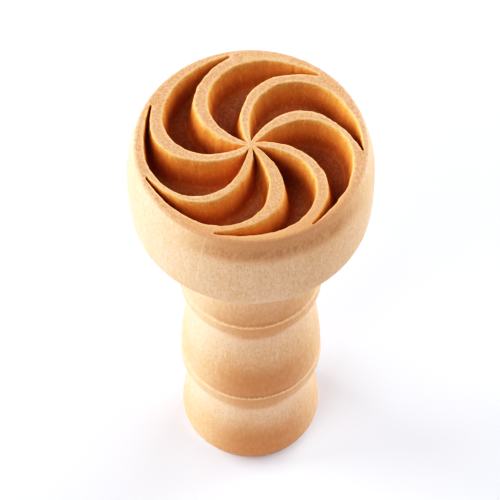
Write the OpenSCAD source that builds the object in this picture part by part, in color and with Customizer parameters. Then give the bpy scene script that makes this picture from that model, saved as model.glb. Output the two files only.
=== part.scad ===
// Round wooden stamp for pressing a pinwheel into soft clay.
// A turned head carries the carved face. It is glued on the tenon of a turned handle.
// The stamp stands on the foot of its handle. The origin is the middle of the foot, and +Z points
// at the face.

/* [Face] */
// Width of the round face
face_d = 25; // [20:0.5:34]
// Pockets cut in the face, with a ridge between each two
pockets = 7; // [5:1:8]
// Depth of the pockets
pocket_depth = 4; // [2:0.25:5]
// Width of the rim outside a pocket's tip
rim_w = 0.4; // [0.3:0.05:1.5]
// Width of a pocket's blunt tip
tip_w = 0.2; // [0.1:0.05:0.5]
// How far the pockets stray from an even pattern, as they do when cut by hand
hand_cut = 1; // [0:0.25:1]
// Radius of the solid middle where the ridges meet
hub_r = 0.35; // [0.2:0.05:0.8]
// Turn of the whole pattern on the face
pattern_turn = 100.5; // [0:0.5:360]
// Width of the chamfer round the face
arris = 0.15; // [0.05:0.05:0.4]

/* [Head] */
// Height of the head from its seat on the handle to the face
head_h = 16.6; // [15.6:0.2:22]
// Depth below the face where the side is fullest
full_h = 5; // [3:0.25:8]
// How far the side stands out past the face where it is fullest
full_out = 0.95; // [-0.2:0.05:2.5]
// Depth below the face where the side turns in to the underside
side_h = 11; // [9:0.25:13]
// How far the side stands out past the face where it turns in
side_out = 0.7; // [-0.5:0.1:2]
// Swell of the side between the face and its fullest place
top_swell = 0.25; // [0.05:0.05:0.5]
// Swell of the side below its fullest place
side_swell = 0.06; // [0.02:0.02:0.4]
// Swell of the underside between the turn and the seat
under_swell = 1; // [0.3:0.05:1.5]

/* [Joint] */
// Width of the flat seat where head and handle meet
seat_d = 12; // [11:0.25:14]
// Width of the tenon on top of the handle
tenon_d = 8; // [6:0.25:9]
// Length of the tenon
tenon_l = 8; // [6:0.25:8.5]
// Gap left for glue all round the tenon
glue_gap = 0.1; // [0.05:0.01:0.2]
// Room past the end of the tenon
end_room = 0.5; // [0.3:0.1:0.8]
// Chamfer on the end of the tenon
tenon_chamfer = 0.6; // [0.2:0.1:1]

/* [Handle] */
// Height of the neck, from the upper ring to the seat
neck_h = 8; // [6:0.25:12]
// Swell of the neck
neck_swell = 0.8; // [0.3:0.05:1.5]
// Height of the middle bead, from ring to ring
bead_h = 13.2; // [9:0.2:20]
// Width of the middle bead where it is widest
bead_d = 15.8; // [14.8:0.1:19]
// Height of the rounding between the lower end of that bead and its widest place
bead_round_h = 1.8; // [1:0.1:3]
// Swell of that rounding
bead_round_swell = 0.1; // [0.05:0.05:0.3]
// Swell of the beads above their widest place
bead_swell = 0.1; // [0.05:0.05:1]
// Width of the two rings
ring_d = 15.9; // [15.4:0.1:19]
// Height of a ring
ring_h = 1.8; // [1:0.1:3]
// Width of the ledge on top of a ring
ledge_w = 0.25; // [0.2:0.05:0.8]
// Depth of the groove under a ring
groove_in = 1.7; // [1.2:0.1:2]
// Height of the sloped crown at the top of a bead
crown_h = 2.4; // [1.5:0.1:4]
// How far the crown spreads out from the groove
crown_out = 0.6; // [0.3:0.05:1]
// Swell of the crown
crown_swell = 0.15; // [0.1:0.05:0.5]

/* [Foot] */
// Height of the foot bead, from the floor to the lower ring
foot_h = 12.6; // [9:0.2:18]
// Width of the foot where it is widest
foot_d = 15.7; // [14:0.1:20]
// Width of the flat that the stamp stands on
foot_flat_d = 11.6; // [9:0.2:13]
// Height of the rounding between that flat and the widest place
foot_round_h = 2.3; // [1:0.1:4]
// Swell of the rounding of the foot
foot_round_swell = 0.6; // [0.2:0.05:0.9]

/* [Hidden] */
$fn = 96;

head_colour = [0.91, 0.77, 0.59];
handle_colour = [0.88, 0.66, 0.41];

face_r = face_d / 2;
seat_r = seat_d / 2;
ring_r = ring_d / 2;
groove_r = ring_r - groove_in;
bead_end_r = ring_r - ledge_w;
crown_r = groove_r + crown_out;
tenon_r = tenon_d / 2;

// Heights above the floor, from the foot up
low_ring_z = foot_h;
bead_z = low_ring_z + ring_h;
top_ring_z = bead_z + bead_h;
neck_z = top_ring_z + ring_h;
seat_z = neck_z + neck_h;
face_z = seat_z + head_h;

// Lip at the lower edge of a ring
lip_h = 0.2;
// Swell of the side of a ring
ring_swell = 0.06;
// Height that a cut runs past the surface it opens
past = 1;

// The two sides of a pocket are cubic curves from the hub to its tip. At each end a curve has a
// heading in degrees, measured from the line between hub and tip, and a pull, in parts of the
// pocket's length.
outer_start = [105, 0.89];
outer_end = [97.5, 1.05];
inner_start = [71, 0.3];
inner_end = [119, 0.79];
curve_steps = 14;

// How each pocket strays from the even pattern: its turn, how far its tip stops short of the rim,
// the change in the pulls of its outer side, the lean of its inner side and the change in that
// side's pulls. Turn and lean are in degrees, and the changes in parts of the pulls.
strays = [
    [2, 0.25, 0, 4, 0.02],
    [3, 0.35, -0.04, 0, -0.08],
    [0, 0, -0.04, -5, 0.04],
    [-2.5, 0, 0.02, 8, -0.08],
    [-3, 0.1, 0, 4, 0.12],
    [-2, 0.1, 0.02, 9, 0.04],
    [3.5, 0.1, 0.02, 15, -0.1],
];
// Eight pockets leave no room to stray
stray = pockets < 8 ? hand_cut : 0;

function polar(r, a) = r * [cos(a), sin(a)];

// Points on an arc from p to q that stands out from the straight line between them by swell.
// With q above p it stands out away from the axis.
function bow(p, q, swell, n) =
    let (
        chord = norm(q - p),
        r = (chord * chord / 4 + swell * swell) / (2 * swell),
        half = asin(chord / 2 / r),
        along = (q - p) / chord,
        out = [along[1], -along[0]],
        centre = (p + q) / 2 + out * (swell - r)
    )
    [for (i = [0:n]) let (a = half * (2 * i / n - 1)) centre + r * (cos(a) * out + sin(a) * along)];

// Points on the cubic curve with the control points a, b, c and d
function cubic(a, b, c, d) =
    [for (i = [0:curve_steps]) let (t = i / curve_steps, u = 1 - t)
        u * u * u * a + 3 * u * u * t * b + 3 * u * t * t * c + t * t * t * d];

// One side of a pocket of length r, from the hub to a tip on the X axis. Its heading leans by lean at
// the hub and by as much the other way at the tip, and its pulls are longer by the part more.
function pocket_side(r, tip, start, end, lean, more) =
    let (
        hub = polar(hub_r, (outer_start[0] + inner_start[0]) / 2),
        pull = r * (1 + more),
        from_hub = polar(pull * start[1], start[0] + lean),
        from_tip = polar(pull * end[1], end[0] - lean)
    )
    cubic(hub, hub + from_hub, tip + from_tip, tip);

// Outline of a pocket that strays by s, with its blunt tip on the X axis
function pocket_outline(s) =
    let (r = face_r - rim_w - s[1])
    concat(
        pocket_side(r, [r, 0], outer_start, outer_end, 0, s[2]),
        reversed(pocket_side(r, [r - tip_w, 0], inner_start, inner_end, s[3], s[4]))
    );

function reversed(points) = [for (i = [len(points) - 1:-1:0]) points[i]];

// Side of a ring that starts at height z, from the groove below it to the ledge on top
function ring_side(z) =
    concat([[groove_r, z]], bow([ring_r, z + lip_h], [ring_r, z + ring_h], ring_swell, 3));

// Side of a bead from its widest place, of radius r at height z, up to the groove under the next ring
function bead_side(r, z, top) =
    let (turn = [crown_r, top - crown_h])
    concat(bow([r, z], turn, bead_swell, 8), bow(turn, [groove_r, top], crown_swell, 4));

module pocket_cuts() {
    for (i = [0:pockets - 1]) {
        s = stray * strays[i % len(strays)];
        rotate(pattern_turn - i * 360 / pockets + s[0])
            translate([0, 0, face_z - pocket_depth])
                linear_extrude(pocket_depth + past) polygon(pocket_outline(s));
    }
}

module head_blank() {
    turn = [face_r + side_out, face_z - side_h];
    fullest = [face_r + full_out, face_z - full_h];
    rotate_extrude()
        polygon(concat(
            [[0, seat_z]],
            bow([seat_r, seat_z], turn, under_swell, 8),
            bow(turn, fullest, side_swell, 4),
            bow(fullest, [face_r, face_z - arris], top_swell, 8),
            [[face_r - arris, face_z], [0, face_z]]
        ));
}

module stamp_head() {
    color(head_colour)
        difference() {
            head_blank();
            pocket_cuts();
            translate([0, 0, seat_z - past])
                cylinder(r = tenon_r + glue_gap, h = tenon_l + end_room + past);
        }
}

module handle() {
    tenon_z = seat_z + tenon_l;
    bead_widest = [bead_d / 2, bead_z + bead_round_h];
    color(handle_colour)
        rotate_extrude()
            polygon(concat(
                [[0, 0]],
                bow([foot_flat_d / 2, 0], [foot_d / 2, foot_round_h], foot_round_swell, 6),
                bead_side(foot_d / 2, foot_round_h, low_ring_z),
                ring_side(low_ring_z),
                bow([bead_end_r, bead_z], bead_widest, bead_round_swell, 4),
                bead_side(bead_widest[0], bead_widest[1], top_ring_z),
                ring_side(top_ring_z),
                bow([bead_end_r, neck_z], [seat_r, seat_z], neck_swell, 6),
                [[tenon_r, seat_z], [tenon_r, tenon_z - tenon_chamfer]],
                [[tenon_r - tenon_chamfer, tenon_z], [0, tenon_z]]
            ));
}

stamp_head();
handle();
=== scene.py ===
import math

import bpy
import numpy as np
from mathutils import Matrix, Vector, noise
from mathutils.geometry import delaunay_2d_cdt


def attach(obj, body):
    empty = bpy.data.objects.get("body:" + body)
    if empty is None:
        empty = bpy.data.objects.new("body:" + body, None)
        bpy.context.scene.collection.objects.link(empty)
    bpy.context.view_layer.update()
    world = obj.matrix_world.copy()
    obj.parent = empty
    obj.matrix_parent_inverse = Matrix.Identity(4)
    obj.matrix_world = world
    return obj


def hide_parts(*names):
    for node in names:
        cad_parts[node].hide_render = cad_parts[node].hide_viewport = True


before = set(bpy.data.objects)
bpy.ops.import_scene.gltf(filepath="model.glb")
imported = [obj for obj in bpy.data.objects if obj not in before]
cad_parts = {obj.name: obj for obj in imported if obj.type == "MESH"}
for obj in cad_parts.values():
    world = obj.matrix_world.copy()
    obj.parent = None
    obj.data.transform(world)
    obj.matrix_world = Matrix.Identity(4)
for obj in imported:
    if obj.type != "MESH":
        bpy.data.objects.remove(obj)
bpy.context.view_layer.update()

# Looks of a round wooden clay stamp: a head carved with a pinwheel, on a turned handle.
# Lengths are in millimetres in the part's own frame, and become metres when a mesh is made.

MM = 0.001

# Heights of what is stacked on the floor, as in the solids: foot, ring, bead, ring, neck and head
FOOT_H, RING_H, BEAD_H, NECK_H, HEAD_H = 12.6, 1.8, 13.2, 8.0, 16.6
LOW_RING_Z = FOOT_H
BEAD_Z = LOW_RING_Z + RING_H
TOP_RING_Z = BEAD_Z + BEAD_H
NECK_Z = TOP_RING_Z + RING_H
SEAT_Z = NECK_Z + NECK_H
FACE_Z = SEAT_Z + HEAD_H
RINGS = (LOW_RING_Z, TOP_RING_Z)

# The face and its pockets, as in the solids
FACE_R = 12.5
POCKETS = 7
POCKET_DEPTH = 4.0
RIM_W = 0.4
TIP_W = 0.2
HUB_R = 0.35
PATTERN_TURN = 100.5
# Each side of a pocket is a cubic curve from the hub to the tip, with a heading in degrees and a
# pull in parts of the pocket's length at each end.
OUTER_START, OUTER_END = (105, 0.89), (97.5, 1.05)
INNER_START, INNER_END = (71, 0.3), (119, 0.79)
# How each pocket strays: its turn, how far its tip stops short, the change in the pulls of its
# outer side, then the lean of its inner side and the change in that side's pulls.
STRAYS = (
    (2, 0.25, 0, 4, 0.02),
    (3, 0.35, -0.04, 0, -0.08),
    (0, 0, -0.04, -5, 0.04),
    (-2.5, 0, 0.02, 8, -0.08),
    (-3, 0.1, 0, 4, 0.12),
    (-2, 0.1, 0.02, 9, 0.04),
    (3.5, 0.1, 0.02, 15, -0.1),
)

# The head's side and its socket, as in the solids
FULL_R, FULL_Z = 13.45, FACE_Z - 5.0
TURN_R, TURN_Z = 13.2, FACE_Z - 11.0
TOP_SWELL, SIDE_SWELL, UNDER_SWELL = 0.25, 0.06, 1.0
SEAT_R = 6.0
SOCKET_R, SOCKET_L = 4.1, 8.5

# The handle, as in the solids
TENON_R, TENON_L, TENON_CHAMFER = 4.0, 8.0, 0.6
NECK_SWELL = 0.8
RING_R, LEDGE_W, GROOVE_R = 7.95, 0.25, 6.25
BEAD_END_R = RING_R - LEDGE_W
BEAD_R, BEAD_ROUND_H, BEAD_ROUND_SWELL = 7.9, 1.8, 0.1
BEAD_SWELL = 0.1
CROWN_R, CROWN_H, CROWN_SWELL = 6.85, 2.4, 0.15
FOOT_R, FOOT_FLAT_R = 7.85, 5.8
FOOT_ROUND_H, FOOT_ROUND_SWELL = 2.3, 0.6

# The finish of the carving, which the solids leave plain
WALL_LEAN = 10.0
SANDED_BACK, TIP_WIDENED = 0.10, 0.05
# A pocket is this part of its depth at the tip, and full depth this far from it
TIP_DEPTH, TIP_RUN = 0.22, 4.5
# A narrow place is cut no deeper than this many times its width, and this much more
DEEPEST, LEAST_DEPTH = 1.8, 0.1
# Roundings of a pocket's top edge and of the foot of its walls. They take no more than these
# parts of the pocket's width and of its depth.
EDGE_ROUND, EDGE_SHARE = 0.15, 0.2
WALL_FOOT_ROUND, WALL_FOOT_SHARE = 0.5, 0.4
# The rim rounds over this far in from the edge of the face with this swell, and further down
RIM_ROUND, RIM_SWELL = 0.32, 0.12
RIM_DROP = 1.4 * RIM_ROUND
# Width of the worn edge where the neck meets the seat, and of the one at the socket's mouth
SEAT_EDGE, SOCKET_EDGE = 0.05, 0.15
# Heights of a ring's lip and of its rounded edges
RING_LIP, RING_EDGE = 0.35, 0.12

# The unevenness of hand work: how far a surface strays, and over what length. The rounding of a
# pocket's edge strays in parts of itself.
COARSE_CUT, FINE_CUT = (0.07, 1.6), (0.05, 0.45)
EDGE_UNEVEN = (0.6, 0.9)
TURNED = (0.03, 2.2)
BURR = (0.05, 0.22)
# A turned surface strays mostly inwards, by this part of its stray, so that it keeps to the solid
INWARD = 0.6
# A burr starts where the noise passes this
BURR_START = 0.1
# How far a seed moves the noise along each axis, in a shape and in the grain
SHAPE_SHIFT, GRAIN_SHIFT = (17.3, -9.1, 5.7), (31.0, 17.0, 7.0)

# How far the worn edges reach on the land and down a pocket's wall, and how far the painted highlight
# reaches on a ledge
LAND_ARRIS, WALL_ARRIS, LEDGE_REACH = 0.06, 0.08, 0.1
# A narrow place in a pocket is painted paler, as painted light. Its depth of colour is this much, and
# more for its width.
NARROW_TONE, WIDE = 0.35, 1.5
# Distances from an edge at which a mark is gone, and at which it is full: end grain on the rim,
# burnished wood with painted shade up the neck and up a bead, painted shadow under a ring, and a bead's
# paler crown, partly painted light
RIM_GRAIN = (0.5, 0.1)
NECK_BURNISH_AND_SHADE = (7.0, -1.5)
BEAD_BURNISH_AND_SHADE = (8.5, 3.5)
SHADOW_UNDER_RING = (2.7, 1.7)
CROWN_REACH = (6.0, 1.5)

# Fineness of the meshes
HEAD_SEGMENTS = 720
HANDLE_SEGMENTS = 480
CURVE_STEPS, EVEN_STEPS = 600, 1200
POCKET_STATIONS = 150
TIP_STATIONS = 5
# Stations each way over which the pairing of a pocket's sides is evened out
PAIR_REACH = 6
# Stations over which a change to a pocket's side fades in at its ends, and at its tip
END_BLEND, TIP_BLEND = 12, 40
WALL_STEPS, FLOOR_STEPS = 16, 8
EDGE_POINTS, WALL_FOOT_POINTS = 7, 9
# How much the steps down a wall crowd at its top and foot
CROWDING = 0.11
# The least sine of the angle at which a row of points is taken to cross a pocket
LEAST_SQUARE = 0.3
# The land's points lie in rows of even triangles, and keep clear of its borders
LAND_STEP, ROW_STEP = 0.26, 0.866
RIM_CLEAR, POCKET_CLEAR = 0.1, 0.09
# Radius of the small faces that close the socket and the two ends of the handle on the axis
SOCKET_CAP_R, HANDLE_CAP_R = 0.6, 0.5
# Points nearer to each other than this become one point
ONE_POINT = 2e-5
# Widths and heights below this count as none
TINY = 1e-6


def polar(r, degrees):
    a = math.radians(degrees)
    return np.array([r * math.cos(a), r * math.sin(a)])


def bow(p, q, swell, steps):
    """Points on an arc from p to q that stands out from the straight line between them by swell."""
    p, q = np.array(p, float), np.array(q, float)
    chord = np.linalg.norm(q - p)
    r = (chord * chord / 4 + swell * swell) / (2 * swell)
    half = math.asin(chord / 2 / r)
    along = (q - p) / chord
    out = np.array([along[1], -along[0]])
    centre = (p + q) / 2 + out * (swell - r)
    angles = np.linspace(-half, half, steps + 1)
    return [centre + r * (math.cos(a) * out + math.sin(a) * along) for a in angles]


def cubic(a, b, c, d, steps):
    """Points on the cubic curve with the control points a, b, c and d."""
    t = np.linspace(0, 1, steps + 1)[:, None]
    u = 1 - t
    return u**3 * a + 3 * u * u * t * b + 3 * u * t * t * c + t**3 * d


def tangents(line):
    t = np.gradient(line, axis=0)
    return t / np.linalg.norm(t, axis=1)[:, None]


def lengths(x, y):
    """How far along the line each of its points lies."""
    return np.concatenate([[0], np.cumsum(np.hypot(np.diff(x), np.diff(y)))])


def spaced(line, steps):
    """The line again, with its points at even distances."""
    s = lengths(line[:, 0], line[:, 1])
    at = np.linspace(0, s[-1], steps + 1)
    return np.stack([np.interp(at, s, line[:, i]) for i in range(2)], axis=1)


def wander(x, y, z, size, seed):
    """Smooth noise from about -1 to 1 that changes over the given size."""
    a, b, c = (seed * step for step in SHAPE_SHIFT)
    return noise.noise(Vector((x / size + a, y / size + b, z / size + c)))


def fade(x, low, high):
    """0 below low and 1 above high, or the other way round, with a smooth change between."""
    t = min(1.0, max(0.0, (x - low) / (high - low)))
    return t * t * (3 - 2 * t)


def pocket_side(r, tip, start, end, lean, more):
    """One side of a pocket of length r, from the hub to a tip on the X axis."""
    hub = polar(HUB_R, (OUTER_START[0] + INNER_START[0]) / 2)
    pull = r * (1 + more)
    from_hub = hub + polar(pull * start[1], start[0] + lean)
    from_tip = tip + polar(pull * end[1], end[0] - lean)
    return cubic(hub, from_hub, from_tip, tip, CURVE_STEPS)


def paired(outer, inner, stations):
    """Points on the outer side that face evenly spaced points on the inner side, square to both."""
    inner = spaced(inner, stations)
    outer = spaced(outer, EVEN_STEPS)
    t_in, t_out = tangents(inner), tangents(outer)
    picks, last = [], 0
    for i in range(1, stations):
        past = ((outer - inner[i]) * (t_in[i] + t_out)).sum(axis=1)
        ahead = np.nonzero(past[last:] > 0)[0]
        last = last + (int(ahead[0]) if len(ahead) else 0)
        picks.append(last)
    picks = np.array([0] + picks + [len(outer) - 1])
    # even out the steps, so that no two stations cross
    evener = np.ones(2 * PAIR_REACH + 1) / (2 * PAIR_REACH + 1)
    smooth = np.convolve(np.pad(picks, PAIR_REACH, mode="edge"), evener, mode="valid")
    smooth[0], smooth[-1] = 0, len(outer) - 1
    smooth = np.maximum.accumulate(smooth)
    index = np.arange(len(outer))
    outer = np.stack([np.interp(smooth, index, outer[:, k]) for k in range(2)], axis=1)
    return outer, inner


def rough_edge(line, side, seed):
    """A side of a pocket, sanded back, with the unevenness of cut wood. It starts in its place."""
    t = tangents(line)
    out = np.stack([t[:, 1], -t[:, 0]], axis=1)
    from_hub = np.arange(len(line))
    from_tip = from_hub[::-1]
    from_end = np.minimum(from_hub, from_tip)
    shift = np.zeros(len(line))
    for (stray, size), number in ((COARSE_CUT, seed), (FINE_CUT, seed + 3)):
        shift += np.array([stray * wander(*p, 0, size, number) for p in line])
    near_tip = np.clip(1 - from_tip / TIP_BLEND, 0, 1)
    widened = (SANDED_BACK + TIP_WIDENED * near_tip) * np.minimum(1, from_hub / END_BLEND)
    moved = side * widened + shift * np.minimum(1, from_end / END_BLEND)
    return line + out * moved[:, None]


def pocket(k):
    """The two sides of pocket k in their place on the face, with a round tip between their ends."""
    turn, short, longer, lean, more = STRAYS[k]
    r = FACE_R - RIM_W - short
    outer = pocket_side(r, np.array([r, 0]), OUTER_START, OUTER_END, 0, longer)
    inner = pocket_side(r, np.array([r - TIP_W, 0]), INNER_START, INNER_END, lean, more)
    outer, inner = paired(outer, inner, POCKET_STATIONS)
    a = math.radians(PATTERN_TURN - k * 360 / POCKETS + turn)
    spin = np.array([[math.cos(a), math.sin(a)], [-math.sin(a), math.cos(a)]])
    outer = rough_edge(outer @ spin, -1, 2 * k + 1)
    inner = rough_edge(inner @ spin, 1, 2 * k + 2)
    middle, half = (outer[-1] + inner[-1]) / 2, (outer[-1] - inner[-1]) / 2
    ahead = np.array([half[1], -half[0]])
    for t in np.linspace(0, math.pi / 2, TIP_STATIONS + 1)[1:]:
        centre = middle + ahead * math.sin(t)
        outer = np.vstack([outer, centre + half * math.cos(t)])
        inner = np.vstack([inner, centre - half * math.cos(t)])
    return outer, inner


def wall_section(half_width, edge_r, depth):
    """Steps in and down one wall, from its top edge to its foot or to the middle of the pocket."""
    lean = math.radians(WALL_LEAN)
    turn = math.pi / 2 - lean
    d = [edge_r * math.sin(a) for a in np.linspace(0, turn, EDGE_POINTS)]
    z = [edge_r * (1 - math.cos(a)) for a in np.linspace(0, turn, EDGE_POINTS)]
    foot_r = min(WALL_FOOT_ROUND, WALL_FOOT_SHARE * depth)
    foot_z = depth - foot_r * (1 - math.cos(turn))
    foot_d = d[-1] + (foot_z - z[-1]) * math.tan(lean)
    for a in np.linspace(turn, 0, WALL_FOOT_POINTS):
        d.append(foot_d + foot_r * (math.sin(turn) - math.sin(a)))
        z.append(depth - foot_r * (1 - math.cos(a)))
    s = lengths(d, z)
    s_end = np.interp(min(half_width, d[-1]), d, s)
    # close steps at the top edge and at the foot of the wall
    t = np.linspace(0, 1, WALL_STEPS + 1)
    at = s_end * (t - CROWDING * np.sin(2 * math.pi * t))
    return np.interp(at, s, d), np.interp(at, s, z)


class Mesh:
    """Points with their values, and the faces between them, gathered piece by piece."""

    def __init__(self, *values):
        self.points, self.faces = [], []
        self.values = {name: [] for name in values}

    def point(self, p, **values):
        self.points.append((float(p[0]), float(p[1]), float(p[2])))
        for name, held in self.values.items():
            held.append(float(values.get(name, 0.0)))
        return len(self.points) - 1

    def grid(self, rows, closed=False, flip=False):
        """Four-sided faces between rows of point numbers."""
        for a, b in zip(rows[:-1], rows[1:]):
            n = len(a)
            for j in range(n if closed else n - 1):
                k = (j + 1) % n
                quad = (a[j], a[k], b[k], b[j])
                self.faces.append(quad[::-1] if flip else quad)

    def make(self, name):
        """The object in metres: double points joined, smooth, and with its values as attributes."""
        points = np.array(self.points)
        keys = np.round(points / ONE_POINT).astype(np.int64)
        _, first, back = np.unique(keys, axis=0, return_index=True, return_inverse=True)
        back = back.reshape(-1)
        faces = []
        for face in self.faces:
            ring = []
            for v in back[list(face)]:
                if v not in ring:
                    ring.append(int(v))
            if len(ring) > 2:
                faces.append(ring)
        data = bpy.data.meshes.new(name)
        data.from_pydata((points[first] * MM).tolist(), [], faces)
        for key, held in self.values.items():
            attribute = data.attributes.new(key, "FLOAT", "POINT")
            attribute.data.foreach_set("value", np.array(held, dtype=np.float32)[first])
        data.polygons.foreach_set("use_smooth", [True] * len(faces))
        data.validate()
        data.update()
        made = bpy.data.objects.new(name, data)
        bpy.context.scene.collection.objects.link(made)
        return made


def inside(points, loop):
    """Which of the points lie inside the closed loop."""
    hit = np.zeros(len(points), bool)
    x, y = points[:, 0], points[:, 1]
    for (x0, y0), (x1, y1) in zip(loop, np.roll(loop, -1, axis=0)):
        crosses = (y0 > y) != (y1 > y)
        if crosses.any():
            at = x0 + (y - y0) * (x1 - x0) / (y1 - y0)
            hit ^= crosses & (x < at)
    return hit


def distance_to(points, line):
    """Least distance from each point to the points of a line, worked out a part at a time."""
    best = np.full(len(points), np.inf)
    for part in np.array_split(line, math.ceil(len(line) / 200)):
        gap = np.linalg.norm(points[:, None] - part[None], axis=2).min(axis=1)
        best = np.minimum(best, gap)
    return best


def carve_pocket(mesh, outer, inner, seed):
    """The walls and the floor of one pocket, as rows of points from its inner to its outer side."""
    t_in, t_out = tangents(inner), tangents(outer)
    row_points = 2 * (WALL_STEPS + 1) + FLOOR_STEPS - 1
    rows = []
    for i, (p, q) in enumerate(zip(inner, outer)):
        width = np.linalg.norm(q - p)
        if width < TINY:
            rows.append([mesh.point((*p, FACE_Z), arris=1)] * row_points)
            continue
        unit = (q - p) / width
        # where a row crosses the pocket at a slant, its steps in are that much longer
        t = (t_in[i] + t_out[i]) / np.linalg.norm(t_in[i] + t_out[i])
        square = max(LEAST_SQUARE, abs(unit[0] * t[1] - unit[1] * t[0]))
        from_tip = np.linalg.norm(p - inner[-1])
        full = POCKET_DEPTH * (TIP_DEPTH + (1 - TIP_DEPTH) * fade(from_tip, 0.0, TIP_RUN))
        full = min(full, DEEPEST * width + LEAST_DEPTH)
        walls = []
        for start, way, number in ((p, unit, seed), (q, -unit, seed + 5)):
            more = EDGE_UNEVEN[0] * wander(*start, 0, EDGE_UNEVEN[1], number)
            edge_r = min(EDGE_SHARE * width, EDGE_ROUND * (1 + more))
            d, z = wall_section(width * square / 2, edge_r, full)
            walls.append([(start + way * a / square, b, 0.0) for a, b in zip(d, z)])
        (left, left_z, _), (right, right_z, _) = walls[0][-1], walls[1][-1]
        floor = []
        for a in np.linspace(0, 1, FLOOR_STEPS + 1)[1:-1]:
            floor.append((left + (right - left) * a, left_z + (right_z - left_z) * a, 1.0))
        # a narrow place is painted paler: painted light
        tone = min(1.0, NARROW_TONE + width / WIDE)
        row = []
        # carve rises with depth, and the walls' colour darkens with it as painted shade
        for at, depth, flat in walls[0] + floor + walls[1][::-1]:
            arris = math.exp(-depth / WALL_ARRIS)
            place = (*at, FACE_Z - depth)
            row.append(mesh.point(place, carve=depth / full * tone, arris=arris, floor=flat))
        rows.append(row)
    mesh.grid(rows, flip=True)


def land_spots(loops, borders, edge_r):
    """Points in rows of even triangles on the land, clear of its borders."""
    span = np.arange(-FACE_R, FACE_R, LAND_STEP)
    gx, gy = np.meshgrid(span, span * ROW_STEP)
    gx = gx + (np.arange(gx.shape[0]) % 2)[:, None] * LAND_STEP / 2
    spots = np.stack([gx.ravel(), gy.ravel()], axis=1)
    spots = spots[np.linalg.norm(spots, axis=1) < edge_r - RIM_CLEAR]
    for loop in loops:
        spots = spots[~inside(spots, loop)]
    return spots[distance_to(spots, borders) > POCKET_CLEAR]


def cover_land(mesh, loops):
    """The flat land. Its borders are the pockets' sides and the circle where the rim rounds over."""
    edge_r = FACE_R - RIM_ROUND
    rim = np.array([polar(edge_r, 360 * i / HEAD_SEGMENTS) for i in range(HEAD_SEGMENTS)])
    borders = np.concatenate(loops)
    points, edges = [], []
    for loop in loops + [rim]:
        start, n = len(points), len(loop)
        points += [Vector(p) for p in loop]
        edges += [(start + i, start + (i + 1) % n) for i in range(n)]
    points += [Vector(p) for p in land_spots(loops, borders, edge_r)]
    out = delaunay_2d_cdt(points, edges, [], 0, 1e-7)
    verts = np.array([(v[0], v[1]) for v in out[0]])
    tris = np.array([list(f) for f in out[2]])
    centres = verts[tris].mean(axis=1)
    keep = np.linalg.norm(centres, axis=1) < edge_r
    for loop in loops:
        keep &= ~inside(centres, loop)
    numbers = []
    for v, gap in zip(verts, distance_to(verts, borders)):
        numbers.append(mesh.point((*v, FACE_Z), arris=math.exp(-gap / LAND_ARRIS), land=1))
    for tri in tris[keep]:
        a, b, c = (numbers[i] for i in tri)
        p, q, r = (verts[i] for i in tri)
        turn = (q[0] - p[0]) * (r[1] - p[1]) - (q[1] - p[1]) * (r[0] - p[0])
        mesh.faces.append((a, b, c) if turn > 0 else (a, c, b))


def carved_face(mesh):
    """The pockets and the flat land between and round them."""
    loops = []
    for k in range(POCKETS):
        outer, inner = pocket(k)
        carve_pocket(mesh, outer, inner, 11 * k + 40)
        loops.append(np.concatenate([outer, inner[-2:0:-1]]))
    cover_land(mesh, loops)


def lathe(mesh, profile, segments, close_start=False, close_end=False, seed=0):
    """Turns a profile of (radius, height, values) round the Z axis.

    The value free is how freely the surface strays there, and burr how rough its edge is.
    """
    rows = []
    for r, z, values in profile:
        row = []
        for j in range(segments):
            a = 2 * math.pi * j / segments
            x, y = math.cos(a), math.sin(a)
            uneven = wander(x * r, y * r, z, TURNED[1], seed) - INWARD
            dr = TURNED[0] * values.get("free", 0.0) * uneven
            if "burr" in values:
                dr += values["burr"] * max(0.0, wander(x * r, y * r, z, BURR[1], seed + 1) - BURR_START)
            row.append(mesh.point(((r + dr) * x, (r + dr) * y, z), **values))
        rows.append(row)
    mesh.grid(rows, closed=True)
    if close_start:
        mesh.faces.append(tuple(rows[0][::-1]))
    if close_end:
        mesh.faces.append(tuple(rows[-1]))


def head_profile():
    """Radius and height down the head's side, from the rim's rounding to the seat."""
    side = bow((FULL_R, FULL_Z), (FACE_R, FACE_Z), TOP_SWELL, steps=60)[::-1]
    low = bow((TURN_R, TURN_Z), (FULL_R, FULL_Z), SIDE_SWELL, steps=30)[::-1]
    under = bow((SEAT_R, SEAT_Z), (TURN_R, TURN_Z), UNDER_SWELL, steps=50)[::-1]
    body = [p for p in side + low[1:] + under[1:] if p[1] < FACE_Z - RIM_DROP]
    rounding = bow(body[0], (FACE_R - RIM_ROUND, FACE_Z), RIM_SWELL, steps=10)[::-1]
    line = np.array(rounding + body[1:])
    # round off the turn between the side and the underside, and leave the rounding as it is
    first = len(rounding) + 1
    for _ in range(14):
        line[first:-1] = (line[first - 1 : -2] + 2 * line[first:-1] + line[first + 1 :]) / 4
    return line


def build_head():
    """The head, with its carved face and its socket."""
    mesh = Mesh("carve", "arris", "land", "floor")
    carved_face(mesh)
    profile = []
    for r, z in head_profile():
        free = fade(FACE_Z - z, 0.5, 2.0) * fade(z - SEAT_Z, 0.3, 1.0)
        profile.append((r, z, dict(free=free, land=fade(FACE_Z - z, *RIM_GRAIN))))
    lathe(mesh, profile[::-1], HEAD_SEGMENTS, seed=4)
    socket = [
        (SOCKET_CAP_R, SEAT_Z + SOCKET_L, {}),
        (SOCKET_R, SEAT_Z + SOCKET_L, {}),
        (SOCKET_R, SEAT_Z + SOCKET_EDGE, {}),
        (SOCKET_R + SOCKET_EDGE, SEAT_Z, {}),
        (SEAT_R, SEAT_Z, {}),
    ]
    lathe(mesh, socket, HEAD_SEGMENTS, close_start=True)
    return mesh.make("carved_head")


def bead_side(widest, top, steps):
    """A bead's side from its widest place up to the groove under the next ring."""
    turn = (CROWN_R, top - CROWN_H)
    crown = bow(turn, (GROOVE_R, top), CROWN_SWELL, steps // 2)
    return bow(widest, turn, BEAD_SWELL, steps) + crown[1:]


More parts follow.
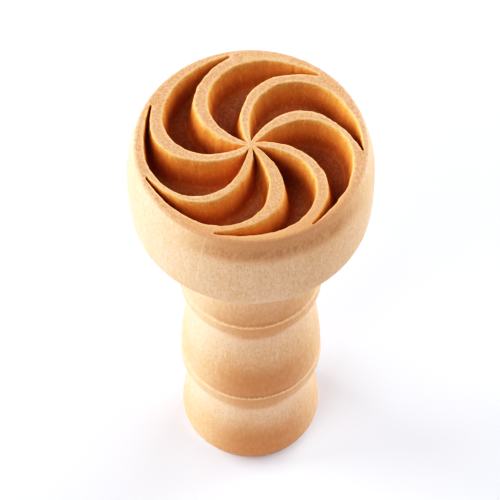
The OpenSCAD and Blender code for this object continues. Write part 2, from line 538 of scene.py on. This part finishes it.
def ring_side(z):
    """A ring's side from the groove under it to the ledge on top, with rounded edges."""
    top = z + RING_H
    lip, edge = (RING_R, z + RING_LIP), (RING_R, top - RING_EDGE)
    # the underside rises a little towards the lip
    line = [(GROOVE_R, z), (GROOVE_R + 0.6, z + 0.02), (RING_R - 0.3, z + 0.06)]
    line += bow((RING_R - RING_EDGE, z + RING_EDGE), lip, swell=0.04, steps=5)
    line += bow(lip, edge, swell=0.05, steps=8)[1:]
    return line + bow(edge, (RING_R - 0.1, top), swell=0.03, steps=4)[1:]


def handle_profile():
    """Radius and height up the handle's side, from the flat of the foot to the seat."""
    bead_widest = (BEAD_R, BEAD_Z + BEAD_ROUND_H)
    line = bow((FOOT_FLAT_R, 0), (FOOT_R, FOOT_ROUND_H), FOOT_ROUND_SWELL, steps=24)
    line += bead_side((FOOT_R, FOOT_ROUND_H), LOW_RING_Z, steps=40)[1:]
    line += ring_side(LOW_RING_Z)
    line += bow((BEAD_END_R, BEAD_Z), bead_widest, BEAD_ROUND_SWELL, steps=12)
    line += bead_side(bead_widest, TOP_RING_Z, steps=44)[1:]
    line += ring_side(TOP_RING_Z)
    line += bow((BEAD_END_R, NECK_Z), (SEAT_R, SEAT_Z - SEAT_EDGE), NECK_SWELL, steps=30)
    return line


def handle_marks(r, z):
    """What the handle's surface shows at a place: ledges with a painted highlight, burnished wood with
    painted shade, rings with painted shadow under them, and crowns partly paled by painted light.
    """
    ledge = max(math.exp(-(((z - t) / LEDGE_REACH) ** 2)) for t in (BEAD_Z, NECK_Z))
    ring = max(fade(z, t - 0.1, t + 0.1) * fade(z, t + RING_H, t + RING_H - 0.15) for t in RINGS)
    # a painted shadow below each ring
    under = max(fade(t - z, *SHADOW_UNDER_RING) * (z < t) for t in RINGS)
    top = min(t for t in (*RINGS, SEAT_Z) if z <= t + RING_H + TINY)
    # darker towards the lower end of the neck, of each bead and of the foot: burnish, with painted shade
    # of the wood that faces down
    if z > NECK_Z - TINY:
        dark = fade(z - NECK_Z, *NECK_BURNISH_AND_SHADE)
    else:
        dark = fade(z - (BEAD_Z if z > BEAD_Z - TINY else FOOT_ROUND_H / 2), *BEAD_BURNISH_AND_SHADE)
    marks = {
        "ledge": ledge if r > BEAD_END_R - 0.05 else 0.0,
        "burnish_and_shade": dark * (1 - ring),
        "ring": max(ring, 0.9 * under),
        "crown": fade(top - z, *CROWN_REACH) * (1 - ring),
        "free": fade(z, 0.2, 1.0) * fade(z, SEAT_Z - 0.2, SEAT_Z - 1.0),
    }
    if ledge > 0.3 and r > RING_R - 0.15:
        marks["burr"] = BURR[0]
    return marks


def build_handle():
    """The handle, with its tenon."""
    mesh = Mesh("ledge", "burnish_and_shade", "ring", "crown")
    profile = [(HANDLE_CAP_R, 0.0, {}), (FOOT_FLAT_R - 0.2, 0.0, {})]
    profile += [(r, z, handle_marks(r, z)) for r, z in handle_profile()]
    lathe(mesh, profile, HANDLE_SEGMENTS, close_start=True, seed=8)
    tenon = [
        (SEAT_R, SEAT_Z - SEAT_EDGE, {}),
        (SEAT_R - SEAT_EDGE, SEAT_Z, {}),
        (TENON_R, SEAT_Z, {}),
        (TENON_R, SEAT_Z + TENON_L - TENON_CHAMFER, {}),
        (TENON_R - TENON_CHAMFER, SEAT_Z + TENON_L, {}),
        (HANDLE_CAP_R, SEAT_Z + TENON_L, {}),
    ]
    lathe(mesh, tenon, HANDLE_SEGMENTS, close_end=True)
    return mesh.make("turned_handle")


class Shader:
    """A material's nodes, made and joined by short calls."""

    def __init__(self, name):
        self.material = bpy.data.materials.new(name)
        self.material.use_nodes = True
        self.tree = self.material.node_tree
        self.tree.nodes.clear()

    def set(self, socket, value):
        if isinstance(value, bpy.types.NodeSocket):
            self.tree.links.new(value, socket)
        else:
            socket.default_value = value

    def add(self, kind, inputs=None, **settings):
        node = self.tree.nodes.new("ShaderNode" + kind)
        for key, value in settings.items():
            setattr(node, key, value)
        for key, value in (inputs or {}).items():
            self.set(node.inputs[key], value)
        return node

    def math(self, operation, *values):
        return self.add("Math", dict(enumerate(values)), operation=operation).outputs[0]

    def times(self, *values):
        result = values[0]
        for value in values[1:]:
            result = self.math("MULTIPLY", result, value)
        return result

    def mix(self, factor, a, b):
        """The colour a where the factor is 0, and b where it is 1."""
        node = self.add("Mix", data_type="RGBA")
        for index, value in ((0, factor), (6, a), (7, b)):
            plain = index and not isinstance(value, bpy.types.NodeSocket)
            self.set(node.inputs[index], (*value, 1) if plain else value)
        return node.outputs[2]

    def stretch(self, vector, scale):
        return self.add("Mapping", {"Vector": vector, "Scale": scale}).outputs[0]

    def noise(self, vector, scale, detail=2.0, roughness=0.5, distortion=0.0):
        values = {"Vector": vector, "Scale": scale, "Detail": detail, "Roughness": roughness}
        values["Distortion"] = distortion
        return self.add("TexNoise", values).outputs["Fac"]

    def remap(self, value, low, high, to_low=0.0, to_high=1.0):
        inputs = {"Value": value, "From Min": low, "From Max": high}
        inputs.update({"To Min": to_low, "To Max": to_high})
        return self.add("MapRange", inputs, interpolation_type="SMOOTHSTEP").outputs[0]

    def between(self, value, low, high, soft):
        """1 between low and high, and 0 outside them, with a change of the width soft at each."""
        rise = self.remap(value, low - soft / 2, low + soft / 2)
        return self.times(rise, self.remap(value, high + soft / 2, high - soft / 2))

    def attribute(self, name):
        return self.add("Attribute", attribute_name=name).outputs["Fac"]

    def finish(self, inputs, height, strength, distance):
        """The material, from what goes into its surface, and from its bump."""
        bump = self.add("Bump", {"Height": height, "Strength": strength, "Distance": distance})
        surface = self.add("BsdfPrincipled", {**inputs, "Normal": bump.outputs[0]})
        self.add("OutputMaterial", {"Surface": surface.outputs[0]})
        return self.material


class Grain:
    """Places on the wood in millimetres and degrees, and the marks that all this wood shares."""

    def __init__(self, shader, seed):
        s = shader
        place = s.add("TexCoord").outputs["Object"]
        plain = s.stretch(place, (1 / MM, 1 / MM, 1 / MM))
        x, y, self.z = s.add("SeparateXYZ", {0: plain}).outputs
        self.radius = s.math("SQRT", s.math("ADD", s.times(x, x), s.times(y, y)))
        # degrees round the axis, from the front towards the right
        turned = s.math("ARCTAN2", x, s.math("MULTIPLY", y, -1.0))
        self.azimuth = s.math("MULTIPLY", turned, 180 / math.pi)
        shift = tuple(seed * step for step in GRAIN_SHIFT)
        mm = s.add("VectorMath", {0: plain, 1: shift}, operation="ADD").outputs[0]
        self.fibre = s.noise(s.stretch(mm, (1, 1, 0.07)), 6.5, 4, 0.62)
        self.pore = s.noise(s.stretch(mm, (1, 1, 0.2)), 8.0, 2, 0.5)
        self.mottle = s.noise(s.stretch(mm, (1, 1, 0.6)), 4.2, 3, 0.6)
        self.tint = s.noise(s.stretch(mm, (1.1, 0.9, 0.5)), 2.4, 4, 0.7)
        self.blotch = s.noise(s.stretch(mm, (1, 1, 0.5)), 0.2, 3, 0.55, 0.4)
        self.band = s.noise(s.stretch(mm, (1, 0.3, 0.05)), 0.9, 3, 0.5, 0.3)
        self.shader = s

    def line(self, azimuth, slope, z_low, z_high, width):
        """A fine line of grain at an azimuth at z_low, which turns by slope degrees a millimetre."""
        s = self.shader
        leant = s.math("MULTIPLY_ADD", self.z, slope, azimuth - slope * z_low)
        gap = s.math("ABSOLUTE", s.math("SUBTRACT", self.azimuth, leant))
        return s.times(s.remap(gap, width, width * 0.3), s.between(self.z, z_low, z_high, 1.0))


# Colours of all the turned wood
PALE = (0.82, 0.56, 0.37)
GOLDEN = (0.78, 0.50, 0.29)
BROAD_BAND = (0.74, 0.46, 0.26)
OCHRE = (0.68, 0.42, 0.21)
PINK = (0.88, 0.60, 0.47)
FLECK = (0.64, 0.39, 0.22)
LIGHT_FIBRE = (0.92, 0.68, 0.48)

# Colours of the head: its handled side, the end grain of its face, the walls with painted light at the
# top and painted shade lower down, the floors, worn edges
HANDLED_SIDE = (0.64, 0.36, 0.19)
STAIN = (0.54, 0.28, 0.14)
HEAD_LINE = (0.95, 0.78, 0.58)
END_PALE = (0.77, 0.475, 0.305)
END_DARK = (0.63, 0.36, 0.195)
END_PINK = (0.80, 0.49, 0.38)
END_PORE = (0.55, 0.30, 0.15)
HANDLED_RIM = (0.66, 0.36, 0.20)
# The walls' colours: painted light at the top, painted shade lower down
WALL_TOP = (0.82, 0.545, 0.235)
WALL_MIDDLE = (0.72, 0.36, 0.11)
WALL_LOW = (0.60, 0.235, 0.065)
WALL_TINT = (0.82, 0.52, 0.21)
WALL_FIBRE = (0.80, 0.50, 0.20)
FLOOR_DARK = (0.54, 0.26, 0.135)
FLOOR_LIGHT = (0.70, 0.40, 0.24)
FLOOR_PINK = (0.80, 0.50, 0.35)
WORN_EDGE = (0.82, 0.52, 0.28)

# Colours of the handle: painted light on the crowns, a painted highlight on the ledges, and painted
# shade in the burnished, deep red and ring browns
CROWN_PALE = (0.89, 0.62, 0.46)
BURNISHED_AND_SHADED = (0.64, 0.32, 0.145)
DEEP_RED = (0.60, 0.27, 0.11)
RING_AND_SHADOW_BROWN = (0.69, 0.37, 0.18)
HANDLE_LINE = (0.93, 0.74, 0.52)
LEDGE_HIGHLIGHT = (0.92, 0.66, 0.46)

# Colours of the table
TABLE_COOL = (0.86, 0.895, 0.98)
TABLE_WHITE = (0.89, 0.92, 1.0)

# Arcs of the head that have been handled, in degrees: from, to and the width of their ends
SIDE_ARC, RIM_ARC = (-26, 58, 30), (-40, 62, 30)
# Where the handled side begins, and the upper and lower ends of its stain, below the face
HANDLED_H, STAIN_TOP, STAIN_LOW = 2.3, 1.1, 2.6
# The middle of the handle's front, in degrees, where its painted shade is strongest
SHADED_FRONT_AT = 9
# Fine lines of grain: azimuth at the lower end, slope, the two heights and the width
HEAD_GRAIN_LINE = (-25.7, 0.43, 46, 56, 0.6)
HANDLE_GRAIN_LINES = ((-32.0, 1.07, 17.5, 24.5, 0.8), (-26.0, 0.85, 6.5, 12.0, 0.8))


def finish_wood(s, g, colour):
    """Satin wood, with the bump of its grain."""
    height = s.math("ADD", s.times(g.fibre, 0.7), s.times(g.pore, 0.3))
    rough = s.remap(g.fibre, 0.3, 0.7, 0.42, 0.62)
    inputs = {"Base Color": colour, "Roughness": rough, "Specular IOR Level": 0.35}
    return s.finish(inputs, height, strength=0.4, distance=0.00006)


def side_grain(s, g):
    """Colour of the turned surfaces before what is special to a piece."""
    colour = s.mix(s.remap(g.blotch, 0.35, 0.65), PALE, GOLDEN)
    colour = s.mix(s.remap(g.band, 0.35, 0.75, 0.0, 0.3), colour, BROAD_BAND)
    colour = s.mix(s.remap(g.mottle, 0.46, 0.66, 0.0, 0.65), colour, OCHRE)
    colour = s.mix(s.remap(g.tint, 0.5, 0.66, 0.0, 0.6), colour, PINK)
    colour = s.mix(s.remap(g.pore, 0.50, 0.68, 0.0, 0.32), colour, FLECK)
    return s.mix(s.remap(g.fibre, 0.52, 0.70, 0.0, 0.55), colour, LIGHT_FIBRE)


def head_side(s, g):
    """The head's side, with a darker band under the face at the front, where it has been handled."""
    edge = s.math("ADD", g.z, s.times(g.blotch, 1.2))
    band = s.times(s.between(g.azimuth, *SIDE_ARC), s.between(edge, FACE_Z - HANDLED_H, FACE_Z + 6, 1.6))
    handled = s.times(band, s.remap(g.mottle, 0.35, 0.65, 0.95, 0.65))
    stained = s.between(g.z, FACE_Z - STAIN_LOW, FACE_Z - STAIN_TOP, 1.2)
    stained = s.times(band, stained, s.remap(g.tint, 0.42, 0.6, 0.0, 0.7))
    colour = s.mix(handled, side_grain(s, g), HANDLED_SIDE)
    colour = s.mix(stained, colour, STAIN)
    return s.mix(s.times(g.line(*HEAD_GRAIN_LINE), 0.2), colour, HEAD_LINE)


def end_grain(s, g):
    """The flat of the face, darker at the front of its rim, where it has been handled."""
    colour = s.mix(s.remap(g.mottle, 0.35, 0.62), END_PALE, END_DARK)
    colour = s.mix(s.remap(g.tint, 0.46, 0.64, 0.0, 0.65), colour, END_PINK)
    colour = s.mix(s.remap(g.pore, 0.5, 0.7, 0.0, 0.6), colour, END_PORE)
    handled = s.times(s.between(g.azimuth, *RIM_ARC), s.remap(g.radius, 10.0, 11.8, 0.0, 0.6))
    return s.mix(handled, colour, HANDLED_RIM)


def pocket_wall(s, g, carve):
    """The walls of the pockets: golden at the top as painted light, then orange, then deep brown lower
    down as painted shade.
    """
    deep = s.math("ADD", carve, s.remap(g.mottle, 0.3, 0.7, -0.1, 0.1))
    colour = s.mix(s.remap(deep, -0.04, 0.26), WALL_TOP, WALL_MIDDLE)
    colour = s.mix(s.remap(deep, 0.22, 0.8), colour, WALL_LOW)
    colour = s.mix(s.remap(g.tint, 0.5, 0.7, 0.0, 0.4), colour, WALL_TINT)
    return s.mix(s.remap(g.fibre, 0.5, 0.7, 0.0, 0.2), colour, WALL_FIBRE)


def pocket_floor(s, g):
    """The floors of the pockets, a duller brown with some pink."""
    colour = s.mix(s.remap(g.mottle, 0.3, 0.7), FLOOR_DARK, FLOOR_LIGHT)
    return s.mix(s.remap(g.tint, 0.5, 0.7, 0.0, 0.5), colour, FLOOR_PINK)


def head_wood():
    s = Shader("head_maple")
    g = Grain(s, 1)
    carve, land, arris, floor = (s.attribute(a) for a in ("carve", "land", "arris", "floor"))
    colour = s.mix(land, head_side(s, g), end_grain(s, g))
    colour = s.mix(s.remap(carve, 0.0, 0.03), colour, pocket_wall(s, g, carve))
    at_floor = s.times(s.remap(carve, 0.88, 1.0), s.remap(floor, 0.0, 0.8, 0.3, 1.0))
    colour = s.mix(at_floor, colour, pocket_floor(s, g))
    pale_edge = s.times(s.remap(arris, 0.3, 1.0), s.remap(g.pore, 0.4, 0.6, 0.1, 0.6))
    return finish_wood(s, g, s.mix(pale_edge, colour, WORN_EDGE))


def handle_wood():
    s = Shader("handle_maple")
    g = Grain(s, 2)
    ledge, burnish_and_shade, ring, crown = (s.attribute(a) for a in ("ledge", "burnish_and_shade", "ring", "crown"))
    # each bead's crown is paler: partly the wood's colour, partly painted light on its upward-facing top
    pale = s.times(crown, s.remap(g.mottle, 0.3, 0.7, 0.75, 0.4))
    colour = s.mix(pale, side_grain(s, g), CROWN_PALE)
    # painted shade, strongest at the front and weaker to the sides
    side = s.math("ABSOLUTE", s.math("SUBTRACT", g.azimuth, SHADED_FRONT_AT))
    held = s.remap(side, 58, 8, 0.25, 0.95)
    # burnished wood with painted shade, darker low on each bead and at the front
    worked = s.times(burnish_and_shade, held, s.remap(g.tint, 0.35, 0.65, 1.0, 0.8))
    colour = s.mix(worked, colour, BURNISHED_AND_SHADED)
    colour = s.mix(s.times(burnish_and_shade, burnish_and_shade, burnish_and_shade, held, 0.3), colour, DEEP_RED)
    # brown on the rings' sides and as a painted shadow below them, stronger at the front as painted
    # shade
    ring_and_shadow = s.times(ring, s.remap(side, 42, 12, 0.25, 0.95), s.remap(g.mottle, 0.35, 0.65, 0.8, 1.0))
    colour = s.mix(ring_and_shadow, colour, RING_AND_SHADOW_BROWN)
    for line in HANDLE_GRAIN_LINES:
        colour = s.mix(s.times(g.line(*line), 0.18), colour, HANDLE_LINE)
    # a pale line on each ledge: a painted highlight
    pale_edge = s.times(s.remap(ledge, 0.15, 0.7), s.remap(g.pore, 0.35, 0.6, 0.15, 0.85))
    return finish_wood(s, g, s.mix(pale_edge, colour, LEDGE_HIGHLIGHT))


def table_top():
    s = Shader("table_white")
    place = s.add("TexCoord").outputs["Object"]
    colour = s.mix(s.noise(place, 9.0, 2), TABLE_COOL, TABLE_WHITE)
    inputs = {"Base Color": colour, "Roughness": 0.6}
    return s.finish(inputs, s.noise(place, 900.0, 2), strength=0.05, distance=0.0001)


# The lights stand at one distance, in metres, from a place inside the stamp's head
LIGHT_AIM = Vector((0, 0, 0.04))
LIGHT_DISTANCE = 0.8


def softbox(name, azimuth, elevation, width, height, power):
    """A soft area light, in metres and watts. Azimuth 0 is in front, and 90 is at the right."""
    lamp = bpy.data.lights.new(name, "AREA")
    lamp.shape = "RECTANGLE"
    lamp.size, lamp.size_y = width, height
    lamp.energy = power
    made = bpy.data.objects.new(name, lamp)
    bpy.context.scene.collection.objects.link(made)
    a, e = math.radians(azimuth), math.radians(elevation)
    way = Vector((math.sin(a) * math.cos(e), -math.cos(a) * math.cos(e), math.sin(e)))
    made.location = LIGHT_AIM + way * LIGHT_DISTANCE
    made.rotation_euler = (-way).to_track_quat("-Z", "Y").to_euler()


# Build, hang the pieces on the root body, and hide the solids they stand for
head = build_head()
handle = build_handle()
head.data.materials.append(head_wood())
handle.data.materials.append(handle_wood())
for piece, node, slot in ((head, "stamp_head", "head_wood"), (handle, "handle", "handle_wood")):
    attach(piece, "root")
    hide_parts(node)

# The table, in even squares, with half its width in metres
TABLE_HALF, TABLE_SQUARES = 3.0, 12
top = Mesh()
spots = np.linspace(-TABLE_HALF, TABLE_HALF, TABLE_SQUARES + 1) / MM
top.grid([[top.point((x, y, 0.0)) for x in spots] for y in spots])
table = top.make("table")
table.data.materials.append(table_top())

# Four soft lights, and a faint light from all round
softbox("key_left", azimuth=-104, elevation=20, width=0.6, height=0.5, power=7.8)
softbox("back_right", azimuth=131, elevation=24, width=0.8, height=0.6, power=6.9)
softbox("front_left", azimuth=-42, elevation=42, width=0.5, height=0.5, power=3.0)
softbox("right", azimuth=80, elevation=34, width=0.5, height=0.5, power=1.8)
world = bpy.data.worlds.new("studio")
world.use_nodes = True
world.node_tree.nodes["Background"].inputs["Color"].default_value = (1.0, 1.0, 1.0, 1)
world.node_tree.nodes["Background"].inputs["Strength"].default_value = 0.05
bpy.context.scene.world = world

# The photograph's response to light: deep shadows and clear highlights
TONES = (
    (0.05, 0.012), (0.12, 0.05), (0.19, 0.11), (0.30, 0.235),
    (0.42, 0.40), (0.62, 0.665), (0.82, 0.87),
)
view = bpy.context.scene.view_settings
view.view_transform = "Standard"
view.use_curve_mapping = True
combined = view.curve_mapping.curves[3]
for x, y in TONES:
    combined.points.new(x, y)
view.curve_mapping.update()

# The camera, from where the face lies in the picture. It looks down on the face at FACE_ELEVATION.
PICTURE = 500
FOCAL_PX = 5000.0
FACE_PX = (250.8, 144.6)
FACE_R_PX = 116.6
FACE_ELEVATION = 55.83
right_px, up_px = FACE_PX[0] - PICTURE / 2, PICTURE / 2 - FACE_PX[1]
pitch = math.radians(FACE_ELEVATION) + math.atan(up_px / FOCAL_PX)
ahead = Vector((0, math.cos(pitch), -math.sin(pitch)))
up = Vector((0, math.sin(pitch), math.cos(pitch)))
right = Vector((1, 0, 0))
depth = FOCAL_PX * FACE_R / FACE_R_PX
to_face = ahead * depth + up * (up_px / FOCAL_PX * depth) + right * (right_px / FOCAL_PX * depth)
lens = bpy.data.cameras.new("camera")
lens.sensor_width = 36.0
lens.lens = lens.sensor_width * FOCAL_PX / PICTURE
lens.clip_start, lens.clip_end = 0.01, 20.0
camera = bpy.data.objects.new("camera", lens)
bpy.context.scene.collection.objects.link(camera)
camera.location = (Vector((0, 0, FACE_Z)) - to_face) * MM
camera.rotation_euler = (math.pi / 2 - pitch, 0, 0)
bpy.context.scene.camera = camera
